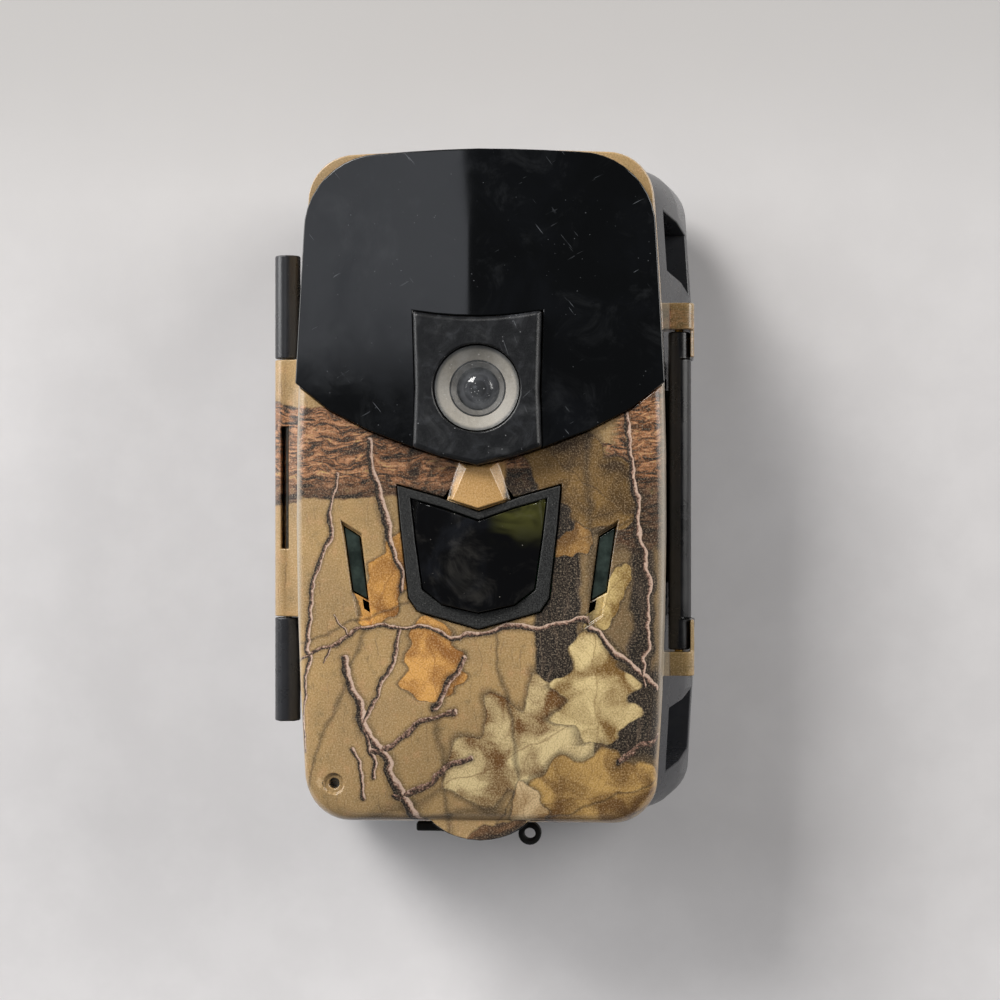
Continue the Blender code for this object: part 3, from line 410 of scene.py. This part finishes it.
    # the raised nose is ochre, with a pale painted reflection round the sides past the print's edge, and
    # mottled on the lugs
    colour = t.mix(t.math("MULTIPLY", patch(-5.6, 5.8, -5.4, 5.0), 0.9), colour, hue("C99D60"))
    raw_x = t.math("ABSOLUTE", t.math("DIVIDE", t.split(t.metres())[0], MM))
    # pale painted reflection on the shell's sides where the print ends
    painted_side_reflection = t.math("MULTIPLY", t.step(raw_x, 39.6, 40.9), t.step(raw_x, 42.5, 42.1))
    colour = t.mix(t.math("MULTIPLY", painted_side_reflection, 0.72), colour, hue("A79F90"))
    lug = t.math("MULTIPLY", t.step(raw_x, 42.4, 42.8), t.step(x, 0.0, 1.0))
    colour = t.mix(t.math("MULTIPLY", lug, 0.6), colour, hue("8F7748"))

    # printing grain over the whole picture
    speck = t.math("MULTIPLY", t.math("SUBTRACT", grain, 0.5), 1.5)
    colour = t.mix(t.math("MAXIMUM", speck, 0.0), colour, hue("E9D3B4"))
    colour = t.mix(t.math("MAXIMUM", t.math("MULTIPLY", speck, -1.15), 0.0), colour, hue("1B1511"))

    rub = t.noise(flat, 0.07, 3.0, 0.6)
    relief = t.math("ADD", t.math("MULTIPLY", grain, 0.6), t.math("MULTIPLY", coarse, 0.4))
    surface(t, shader, colour, t.step(rub, 0.3, 0.7, 0.30, 0.44), relief, 0.02,
            Coat_Weight=0.55, Coat_Roughness=0.14, Specular_IOR_Level=0.45)
    return material


# ------------------------------------------------------------- other materials
def dusty(t, colour, roughness, amount=0.25, tint="B9B4AA"):
    """Dust specks and smears over a colour and its roughness."""
    at = t.place()
    specks = t.step(t.cells(at, 0.62), 0.10, 0.05)
    some = t.step(t.noise(at, 0.21, 2.0), 0.50, 0.62)
    smear = t.step(t.noise(at, 0.09, 5.0, 0.7, 0.8), 0.5, 0.78)
    share = t.math("ADD", t.math("MULTIPLY", t.math("MULTIPLY", specks, some), amount),
                   t.math("MULTIPLY", smear, amount * 0.16))
    return t.mix(share, colour, hue(tint)), t.math("ADD", roughness, t.math("MULTIPLY", share, 0.6), True)


def scratches(t, at, angle, scale):
    """Sparse fine straight lines at one heading in the x, z plane."""
    turn = t.node("ShaderNodeVectorRotate", rotation_type="Y_AXIS")
    t.plug(turn.inputs["Vector"], at)
    turn.inputs["Angle"].default_value = math.radians(angle)
    lines = t.noise(t.stretch(turn.outputs[0], (scale, scale, scale * 0.035)), 1.0, 1.0, 0.5)
    patch = t.step(t.noise(at, 0.12, 2.0), 0.55, 0.68)
    return t.math("MULTIPLY", t.step(lines, 0.715, 0.74), patch)


def moulded_black(name, colour="17171A", sheen="26262A", rough=(0.34, 0.5), grain=2.2,
                  depth=0.018, dust=0.18):
    """Spark-textured black plastic with rubbed patches and settled dust."""
    material, t, shader = new_material(name)
    at = t.place()
    mottle = t.noise(at, 0.16, 4.0, 0.65)
    base = t.mix(t.step(mottle, 0.35, 0.7), hue(colour), hue(sheen))
    base, roughness = dusty(t, base, t.step(mottle, 0.3, 0.7, *rough), dust)
    pits = t.math("MULTIPLY", t.cells(at, grain * 0.7), 0.4)
    texture = t.math("ADD", t.noise(at, grain, 3.0, 0.6), pits)
    surface(t, shader, base, roughness, texture, depth)
    return material


def tinted_panel():
    """Glossy black panel with faint haze, fine scratches and dust."""
    material, t, shader = new_material("tinted_gloss")
    at = t.place()
    marks = t.math("MAXIMUM", scratches(t, at, 38.0, 1.9), scratches(t, at, -62.0, 2.3))
    haze = t.noise(at, 0.045, 4.0, 0.6, 0.5)
    base = t.mix(t.step(haze, 0.4, 0.75, 0.0, 0.6), hue("060708"), hue("101216"))
    base = t.mix(t.math("MULTIPLY", marks, 0.35), base, hue("8A8E94"))
    base, roughness = dusty(t, base, t.step(haze, 0.3, 0.75, 0.07, 0.17), 0.22, "9FA3A8")
    ripple = t.math("ADD", t.noise(at, 0.05, 1.0), t.math("MULTIPLY", marks, -0.12))
    surface(t, shader, base, roughness, ripple, 0.03, IOR=1.49)
    return material


def scuffed_satin(name, light="3A3C40", dark="101113", rough=(0.32, 0.6)):
    """Black satin plastic, scuffed grey where hands and branches have rubbed it."""
    material, t, shader = new_material(name)
    at = t.place()
    blotch = t.noise(at, 0.28, 5.0, 0.68, 0.6)
    fine = t.noise(at, 2.8, 3.0, 0.6)
    base = t.mix(t.step(blotch, 0.46, 0.74), hue(dark), hue(light))
    marks = t.math("MAXIMUM", scratches(t, at, 20.0, 2.6), scratches(t, at, -48.0, 3.0))
    base = t.mix(t.math("MULTIPLY", marks, 0.6), base, hue("85888C"))
    base, roughness = dusty(t, base, t.step(blotch, 0.35, 0.7, *rough), 0.5, "A9ABAD")
    surface(t, shader, base, roughness, t.math("ADD", fine, t.math("MULTIPLY", blotch, 1.2)), 0.03)
    return material


def speckled_frame():
    """Sand-textured dark plastic with pale glints in it."""
    material, t, shader = new_material("speckled_plastic")
    at = t.place()
    fine = t.noise(at, 3.2, 3.0, 0.7)
    base = t.mix(t.step(fine, 0.40, 0.66), hue("141414"), hue("333433"))
    glints = t.math("MULTIPLY", t.step(t.cells(at, 1.5), 0.16, 0.08),
                    t.step(t.noise(at, 0.5, 2.0), 0.48, 0.6))
    base = t.mix(t.math("MULTIPLY", glints, 0.55), base, hue("8E8D88"))
    surface(t, shader, base, t.step(fine, 0.3, 0.7, 0.36, 0.58), fine, 0.06)
    return material


def window_gloss():
    """Dark glossy motion window, faintly blue in places, with a painted olive highlight on one patch."""
    material, t, shader = new_material("motion_window")
    at = t.place()
    depth = t.noise(at, 0.08, 3.0, 0.6, 0.7)
    base = t.mix(t.step(depth, 0.46, 0.72), hue("050506"), hue("15171C"))
    x, _, z = t.split(at)
    # painted olive highlight on one patch of the window
    painted_olive_highlight = t.math("MULTIPLY", t.step(x, 1.5, 7.0), t.step(z, -15.0, -5.5))
    base = t.mix(t.math("MULTIPLY", painted_olive_highlight, t.step(depth, 0.36, 0.56, 0.0, 0.8)), base, hue("4E4E24"))
    base, roughness = dusty(t, base, t.step(depth, 0.3, 0.7, 0.08, 0.2), 0.35)
    surface(t, shader, base, roughness, t.noise(at, 0.3, 2.0), 0.02, IOR=1.5)
    return material


def plain_grain(name, colour, second, rough, metallic=0.0, grain=1.2, depth=0.01, **plain):
    """Two close tones, a fine grain and uneven gloss."""
    material, t, shader = new_material(name)
    at = t.place()
    mottle = t.noise(at, grain * 0.35, 4.0, 0.6)
    fine = t.noise(at, grain * 3.0, 2.0, 0.6)
    base = t.mix(t.step(mottle, 0.32, 0.7), hue(colour), hue(second))
    surface(t, shader, base, t.step(mottle, 0.3, 0.7, *rough), fine, depth, Metallic=metallic, **plain)
    return material


def brushed(name, colour, second, rough, stretch):
    """Drawn metal with lines along one axis."""
    material, t, shader = new_material(name)
    lines = t.noise(t.place(stretch), 1.0, 4.0, 0.7)
    stain = t.noise(t.place(), 0.3, 4.0, 0.6)
    base = t.mix(t.step(lines, 0.35, 0.65), hue(colour), hue(second))
    base = t.mix(t.step(stain, 0.55, 0.8, 0.0, 0.4), base, hue("5A4A38"))
    surface(t, shader, base, t.step(lines, 0.3, 0.7, *rough), lines, 0.012, Metallic=1.0)
    return material


def circuit_board():
    """Green solder mask over copper tracks, with tinned pads."""
    material, t, shader = new_material("solder_masked_board")
    at = t.place()
    x, _, _ = t.split(at)
    mottle = t.noise(at, 0.2, 3.0)
    base = t.mix(t.step(mottle, 0.35, 0.7), hue("0C3A20"), hue("12502B"))
    tracks = t.math("ABSOLUTE", t.math("SUBTRACT", t.math("FRACT", t.math("MULTIPLY", x, 0.55)), 0.5))
    gate = t.step(t.noise(t.stretch(at, (0.25, 0.25, 0.06)), 1.0, 1.0), 0.48, 0.5)
    copper = t.math("MULTIPLY", t.step(tracks, 0.12, 0.08), gate)
    base = t.mix(t.math("MULTIPLY", copper, 0.6), base, hue("2C7A46"))
    pads = t.step(t.cells(at, 0.3), 0.16, 0.13)
    base = t.mix(pads, base, hue("BFC2BE"))
    surface(t, shader, base, t.between(pads, 0.42, 0.25), t.math("ADD", copper, pads), 0.03)
    return material


def cell_sleeve():
    """Printed cell sleeve: two bands of colour along its length, no lettering."""
    material, t, shader = new_material("cell_wrap")
    at = t.place()
    _, _, z = t.split(at)
    from_middle = t.math("SUBTRACT", t.math("ABSOLUTE", z), 28.6)
    reach = t.math("ABSOLUTE", from_middle)
    scuff = t.noise(at, 0.7, 4.0, 0.65)
    base = t.mix(t.step(from_middle, 9.4, 9.7), hue("16233F"), hue("B27A2E"))
    base = t.mix(t.step(reach, 22.4, 22.7), base, hue("B9B6AE"))
    base = t.mix(t.step(scuff, 0.6, 0.75, 0.0, 0.35), base, hue("8C8F96"))
    surface(t, shader, base, t.step(scuff, 0.3, 0.7, 0.22, 0.38), scuff, 0.02)
    return material


def display_glass():
    """Unlit display: dark cover glass over a slightly paler active area."""
    material, t, shader = new_material("display_cover")
    at = t.place()
    x, _, z = t.split(at)
    smudge = t.noise(at, 0.11, 5.0, 0.7, 0.6)
    active = t.math("MULTIPLY", t.step(t.math("ABSOLUTE", x), 18.3, 18.1),
                    t.step(t.math("ABSOLUTE", t.math("SUBTRACT", z, 27.5)), 13.6, 13.4))
    base = t.mix(active, hue("08090A"), hue("1B2023"))
    base = t.mix(t.step(smudge, 0.5, 0.8, 0.0, 0.12), base, hue("8D9296"))
    surface(t, shader, base, t.step(smudge, 0.35, 0.7, 0.05, 0.22), smudge, 0.006)
    return material


def clear_glass(name, tint, rough):
    """Thin clear pane, seen through, with dust and smears that catch the light."""
    material, t, shader = new_material(name)
    at = t.place()
    smear = t.noise(at, 0.25, 4.0, 0.7)
    specks = t.math("MULTIPLY", t.step(t.cells(at, 0.9), 0.14, 0.07),
                    t.step(t.noise(at, 0.4, 2.0), 0.52, 0.62))
    base = t.mix(specks, hue(tint), hue("D8D8D4"))
    surface(t, shader, base, t.step(smear, 0.3, 0.75, *rough), smear, 0.004)
    haze = t.math("ADD", t.step(smear, 0.35, 0.8, 0.02, 0.08), t.math("MULTIPLY", specks, 0.5), True)
    t.plug(shader.inputs["Alpha"], haze)
    return material


def from_lens_axis(t, at):
    """Distance from the lens axis in the x, z plane."""
    x, _, z = t.split(at)
    return t.vector("LENGTH", t.join(x, 0.0, t.math("SUBTRACT", z, LENS_Z)))


def lens_glass():
    """Front element: coated glass over a dark barrel, with dust near the middle."""
    material, t, shader = new_material("lens_coating")
    at = t.place()
    from_axis = from_lens_axis(t, at)
    rings = t.ramp(t.math("DIVIDE", from_axis, 5.2), (0.0, hue("121318")), (0.34, hue("0B0B0E")),
                   (0.40, hue("34353A")), (0.58, hue("26272B")), (0.66, hue("4A4B50")),
                   (0.95, hue("2E2F33")))
    specks = t.math("MULTIPLY", t.step(t.cells(at, 1.3), 0.2, 0.1), t.step(from_axis, 3.4, 0.8))
    base = t.mix(t.math("MULTIPLY", specks, 0.8), rings, hue("E4E4E6"))
    smear = t.noise(at, 0.5, 3.0, 0.6)
    surface(t, shader, base, t.step(smear, 0.3, 0.7, 0.06, 0.2), smear, 0.006, IOR=1.6)
    return material


def pale_ring():
    """Warm grey ring round the lens, darker toward its outer edge."""
    material, t, shader = new_material("pale_ring")
    at = t.place()
    ring_mottle = t.noise(at, 1.1, 4.0, 0.7)
    base = t.mix(t.step(ring_mottle, 0.35, 0.7), hue("948E83"), hue("A39D92"))
    painted_side_reflection = t.math("ADD", from_lens_axis(t, at), t.math("MULTIPLY", ring_mottle, 0.6))
    # darker toward the outer edge
    base = t.mix(t.step(painted_side_reflection, 8.7, 9.5), base, hue("4C4B47"))
    surface(t, shader, base, t.step(ring_mottle, 0.3, 0.7, 0.42, 0.6), ring_mottle, 0.02)
    return material


BLACK = moulded_black("moulded_black")
HINGE_BLACK = moulded_black("latch_black", "0B0B0D", "17171A", (0.24, 0.4), 2.6, 0.010, 0.12)
RUBBER = plain_grain("soft_rubber", "0C0C0C", "1A1A19", (0.62, 0.85), grain=2.0, depth=0.02)
SATIN = scuffed_satin("scuffed_satin", "222428", "121315", (0.32, 0.46))
BY_SLOT = {
    "camouflage_abs": camouflage(),
    "black_abs": BLACK,
    "tinted_acrylic": tinted_panel(),
    "satin_black": SATIN,
    "grey_bezel": pale_ring(),
    "clear_window": clear_glass("clear_pane", "C8CCD0", (0.04, 0.12)),
    "coated_glass": lens_glass(),
    "smoked_window": plain_grain("smoked_pane", "1E2623", "3C4843", (0.08, 0.2), grain=0.6, depth=0.004),
    "pin_steel": brushed("drawn_steel", "A9A59B", "7E7A72", (0.22, 0.4), (3.0, 3.0, 0.2)),
    "nickel_contact": brushed("nickel_strip", "BDB8AC", "97938A", (0.2, 0.36), (0.4, 3.0, 3.0)),
    "brass_insert": brushed("turned_brass", "B58E4B", "8E6C35", (0.25, 0.42), (1.0, 1.0, 6.0)),
    "seal_rubber": RUBBER,
    "circuit_board": circuit_board(),
    "display_glass": display_glass(),
    "key_rubber": plain_grain("key_silicone", "3B3C3F", "4A4B4F", (0.5, 0.68), grain=1.6, depth=0.012),
    "cell_sleeve": cell_sleeve(),
}
BY_NODE = {
    "pir_frame": speckled_frame(),
    "pir_lens": window_gloss(),
    "back_shell": moulded_black("shell_black", "28292C", "2B2C30", (0.26, 0.30), 2.2, 0.012, 0.12),
    "latch_lever": HINGE_BLACK,
    "lens_barrel": scuffed_satin("barrel_grey", "77736C", "5C5954", (0.4, 0.6)),
}

# Width of the rounded edges on each node's finer copy, in millimetres; others get EDGE
EDGE = 0.18
EDGES = {
    "front_shell": 0.3, "back_shell": 0.35, "infrared_panel": 0.35, "lens_block": 0.45,
    "latch_lever": 0.4, "port_cover": 0.5, "pir_frame": 0.3, "pir_lens": 0.25,
    "inner_cover": 0.25, "lens_window": 0.12, "lens_barrel": 0.08, "lens_bezel": 0.1,
}


# ------------------------------------------------------------ finer CAD copies
MERGE_MM = 0.002
FLAT_WITHIN = math.radians(0.6)
SHARP_FROM = math.radians(32.0)
ROUNDING_STEPS = 3


def finer(node):
    """A copy of a CAD node with rounded edges, smooth shading and a detailed material."""
    source = frame["nodes"][node]
    body = source["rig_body"]
    given_slot = source.data.materials[0].name.split(".")[0]
    mesh = source.data.copy()
    mesh.name = f"{node}_fine"
    work = bmesh.new()
    work.from_mesh(mesh)
    bmesh.ops.remove_doubles(work, verts=work.verts, dist=MERGE_MM * MM)
    bmesh.ops.dissolve_limit(work, angle_limit=FLAT_WITHIN, verts=work.verts, edges=work.edges)
    many_sided = [face for face in work.faces if len(face.verts) > 4]
    bmesh.ops.triangulate(work, faces=many_sided, ngon_method="BEAUTY")
    work.to_mesh(mesh)
    work.free()
    if "custom_normal" in mesh.attributes:
        mesh.attributes.remove(mesh.attributes["custom_normal"])
    mesh.materials.clear()
    mesh.materials.append(BY_NODE.get(node, BY_SLOT[given_slot]))
    mesh.shade_smooth()
    piece = bpy.data.objects.new(f"{node}_fine", mesh)
    SCENE.collection.objects.link(piece)
    rounding = piece.modifiers.new("rounded edges", "BEVEL")
    rounding.width = EDGES.get(node, EDGE) * MM
    rounding.segments = ROUNDING_STEPS
    rounding.limit_method = "ANGLE"
    rounding.angle_limit = SHARP_FROM
    rounding.use_clamp_overlap = False
    rounding.harden_normals = True
    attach(piece, body)
    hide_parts(node)
    return piece


for node_name in sorted(frame["nodes"]):
    finer(node_name)


# --------------------------------------------------------------- studio, camera
BACKDROP_Y = 0.0006
BACKDROP_HALF = 2.0
PAINTED_SHADE_UP_TO = 0.13
AIM = Vector((0.0, -0.03, 0.0))
CENTRE = Vector((4.75, FACE_Y, -3.2)) * MM
DISTANCE = 0.5
FROM_RIGHT = math.radians(4.5)
FRAME_WIDTH = 0.2225


def backdrop():
    """Pale sheet right behind the object, greyer upwards with painted shade, and see-through from behind.
    """
    mesh = bpy.data.meshes.new("backdrop")
    work = bmesh.new()
    bmesh.ops.create_grid(work, x_segments=1, y_segments=1, size=BACKDROP_HALF)
    work.to_mesh(mesh)
    work.free()
    sheet = bpy.data.objects.new("backdrop", mesh)
    sheet.rotation_euler.x = math.radians(90.0)
    sheet.location.y = BACKDROP_Y
    SCENE.collection.objects.link(sheet)
    material, t, shader = new_material("pale_sheet")
    fibre = t.noise(t.place(), 0.05, 4.0, 0.6)
    tone = t.mix(t.step(fibre, 0.35, 0.7), hue("DDDBDC"), hue("E2E0E1"))
    _, height, _ = t.split(t.metres())
    # painted shade: the sheet turns greyer towards the top
    t.plug(shader.inputs["Base Color"], t.mix(t.step(height, 0.0, PAINTED_SHADE_UP_TO), tone, hue("BAB8B7")))
    shader.inputs["Roughness"].default_value = 0.7
    behind = t.node("ShaderNodeBsdfTransparent")
    swap = t.node("ShaderNodeMixShader")
    t.plug(swap.inputs[0], t.node("ShaderNodeNewGeometry").outputs["Backfacing"])
    t.plug(swap.inputs[1], shader.outputs[0])
    t.plug(swap.inputs[2], behind.outputs[0])
    t.plug(material.node_tree.nodes["Material Output"].inputs[0], swap.outputs[0])
    mesh.materials.append(material)
    sheet.visible_shadow = False


def softbox(name, azimuth, elevation, distance, size, power, colour="FFFFFF"):
    """Rectangular light aimed at the object; azimuth 0 is in front, positive to the right."""
    data = bpy.data.lights.new(name, "AREA")
    data.shape = "RECTANGLE"
    data.size, data.size_y = size
    data.energy = power
    data.color = hue(colour)[:3]
    lamp = bpy.data.objects.new(name, data)
    around, up = math.radians(azimuth), math.radians(elevation)
    toward = Vector((math.sin(around) * math.cos(up), -math.cos(around) * math.cos(up), math.sin(up)))
    lamp.location = AIM + toward * distance
    lamp.rotation_euler = (-toward).to_track_quat("-Z", "Y").to_euler()
    lamp.visible_camera = False
    SCENE.collection.objects.link(lamp)


def studio():
    """Soft lights in front, two behind for the back, and a dim room."""
    softbox("key", -40.0, 40.0, 2.6, (1.0, 1.0), 58.0, "FFFDFA")
    softbox("window", -16.0, 10.0, 1.2, (0.27, 0.22), 0.25, "F2F6FF")
    softbox("left", -72.0, 20.0, 2.4, (1.4, 1.4), 44.0)
    softbox("right", 66.0, 22.0, 2.4, (1.6, 1.6), 50.0, "FFFDFA")
    softbox("low", -10.0, -60.0, 2.4, (1.4, 1.0), 2.0)
    softbox("rear left", -150.0, 25.0, 2.4, (1.6, 1.6), 30.0)
    softbox("rear right", 145.0, 10.0, 2.4, (1.6, 1.6), 30.0)
    world = bpy.data.worlds.new("studio")
    world.use_nodes = True
    SCENE.world = world
    t = Tree(world.node_tree)
    room = world.node_tree.nodes["Background"]
    room.inputs["Color"].default_value = hue("9A9CA0")
    room.inputs["Strength"].default_value = 0.22
    seen = t.node("ShaderNodeBackground")
    seen.inputs["Color"].default_value = hue("D2D1D2")
    swap = t.node("ShaderNodeMixShader")
    t.plug(swap.inputs[0], t.node("ShaderNodeLightPath").outputs["Is Camera Ray"])
    t.plug(swap.inputs[1], room.outputs[0])
    t.plug(swap.inputs[2], seen.outputs[0])
    t.plug(world.node_tree.nodes["World Output"].inputs[0], swap.outputs[0])
    SCENE.view_settings.view_transform = "Standard"


def camera():
    """Nearly frontal view, from a little to the right."""
    data = bpy.data.cameras.new("camera")
    data.sensor_width = 36.0
    data.lens = data.sensor_width * DISTANCE / FRAME_WIDTH
    viewer = bpy.data.objects.new("camera", data)
    toward = Vector((math.sin(FROM_RIGHT), -math.cos(FROM_RIGHT), 0.0))
    viewer.location = CENTRE + toward * DISTANCE
    viewer.rotation_euler = (-toward).to_track_quat("-Z", "Y").to_euler()
    SCENE.collection.objects.link(viewer)
    SCENE.camera = viewer


backdrop()
studio()
camera()
